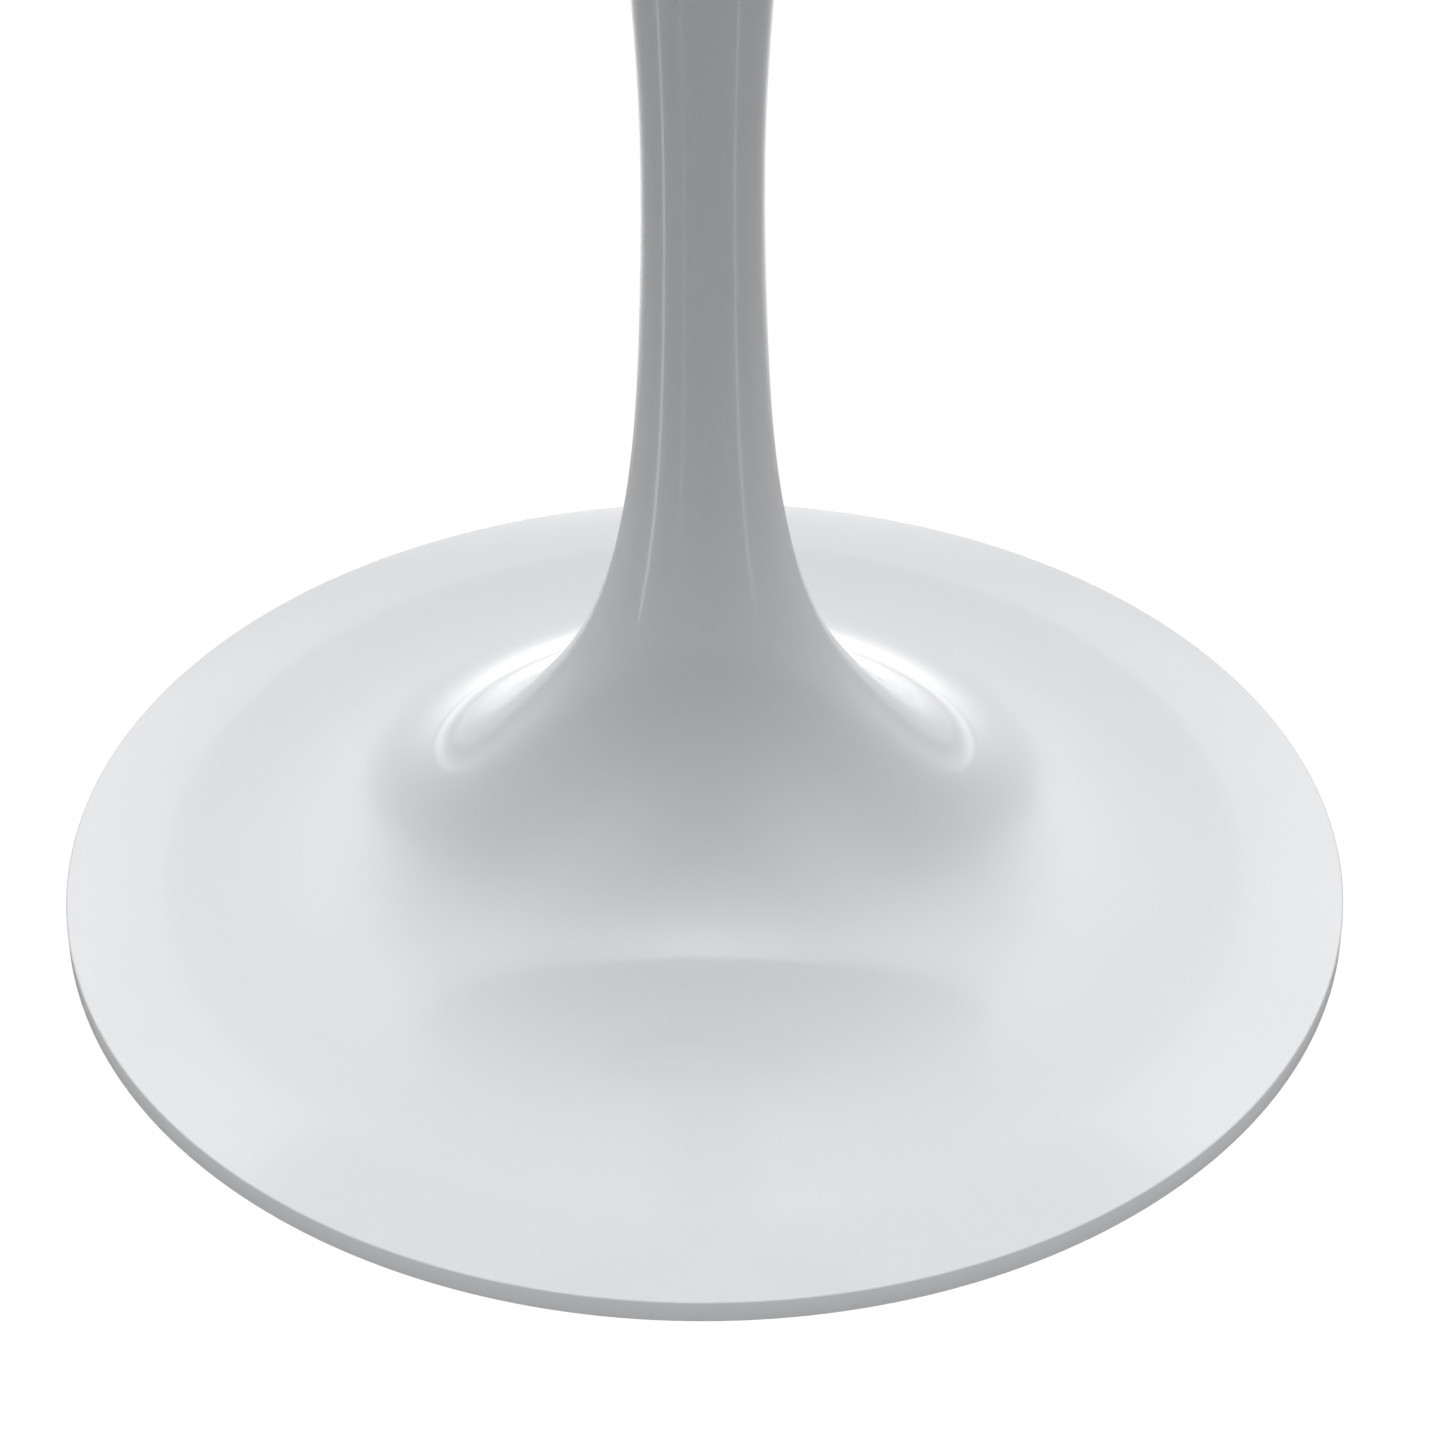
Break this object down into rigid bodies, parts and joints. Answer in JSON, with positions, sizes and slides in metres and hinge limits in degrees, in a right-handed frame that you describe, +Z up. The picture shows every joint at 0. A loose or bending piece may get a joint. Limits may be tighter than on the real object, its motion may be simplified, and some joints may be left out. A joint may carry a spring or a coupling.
{
  "type": "round pedestal table",
  "caption": "Round pedestal table: lacquered round top with undercut edge on a one-piece trumpet pedestal, weighted inside the foot disc, with levelling feet.",
  "frame": {"origin": "on the floor, under the middle of the table", "axes": "+Z up along the axis of the stem; +X to the right and +Y away from the viewer"},
  "size_m": [1.016, 1.016, 0.735],
  "materials": {
    "white_lacquer_board": "gloss white lacquer on fibreboard",
    "white_lacquer_metal": "gloss cool white lacquer",
    "black_steel": "satin black powder coat",
    "zinc_steel": "bright zinc plate",
    "brass_insert": "plain",
    "grey_iron": "as cast, primed",
    "black_rubber": "matt",
    "black_plastic": "fine moulded grain",
    "grey_nylon": "moulded nylon"
  },
  "bodies": {
    "table": {"table_top": "white_lacquer_board", "pedestal_shell": "white_lacquer_metal", "top_plate": "black_steel", "plate_hub": "black_steel", "bottom_cover": "black_steel", "top_screws": "zinc_steel", "top_screw_washers": "zinc_steel", "upper_jam_nut": "zinc_steel", "lower_nut": "zinc_steel", "lower_washer": "zinc_steel", "spring_washer": "zinc_steel", "tie_rod": "zinc_steel", "ballast_screws": "zinc_steel", "ballast_washers": "zinc_steel", "cover_screws": "zinc_steel", "foot_bushes": "zinc_steel", "top_inserts": "brass_insert", "ballast_plate": "grey_iron", "mouth_gasket": "black_rubber", "access_cap": "black_plastic"},
    "foot_1": {"foot_pad_1": "grey_nylon"},
    "stud_1": {"foot_stud_1": "zinc_steel"},
    "foot_2": {"foot_pad_2": "grey_nylon"},
    "stud_2": {"foot_stud_2": "zinc_steel"},
    "foot_3": {"foot_pad_3": "grey_nylon"},
    "stud_3": {"foot_stud_3": "zinc_steel"},
    "foot_4": {"foot_pad_4": "grey_nylon"},
    "stud_4": {"foot_stud_4": "zinc_steel"}
  },
  "joints": [
    {"name": "foot_1_height", "type": "slide", "parent": "table", "child": "foot_1", "axis": [0, 0, -1], "range_m": [0, 0.005]},
    {"name": "stud_1_turn", "type": "hinge", "parent": "foot_1", "child": "stud_1", "pos_m": [0.16264, 0.16264, 0.003], "axis": [0, 0, 1], "range_deg": [0, 1440]},
    {"name": "foot_2_height", "type": "slide", "parent": "table", "child": "foot_2", "axis": [0, 0, -1], "range_m": [0, 0.005]},
    {"name": "stud_2_turn", "type": "hinge", "parent": "foot_2", "child": "stud_2", "pos_m": [-0.16264, 0.16264, 0.003], "axis": [0, 0, 1], "range_deg": [0, 1440]},
    {"name": "foot_3_height", "type": "slide", "parent": "table", "child": "foot_3", "axis": [0, 0, -1], "range_m": [0, 0.005]},
    {"name": "stud_3_turn", "type": "hinge", "parent": "foot_3", "child": "stud_3", "pos_m": [-0.16264, -0.16264, 0.003], "axis": [0, 0, 1], "range_deg": [0, 1440]},
    {"name": "foot_4_height", "type": "slide", "parent": "table", "child": "foot_4", "axis": [0, 0, -1], "range_m": [0, 0.005]},
    {"name": "stud_4_turn", "type": "hinge", "parent": "foot_4", "child": "stud_4", "pos_m": [0.16264, -0.16264, 0.003], "axis": [0, 0, 1], "range_deg": [0, 1440]}
  ],
  "couplings": [
    {"joint": "stud_1_turn", "follows": "foot_1_height", "rad_per_m": 5026.5},
    {"joint": "stud_2_turn", "follows": "foot_2_height", "rad_per_m": 5026.5},
    {"joint": "stud_3_turn", "follows": "foot_3_height", "rad_per_m": 5026.5},
    {"joint": "stud_4_turn", "follows": "foot_4_height", "rad_per_m": 5026.5}
  ]
}
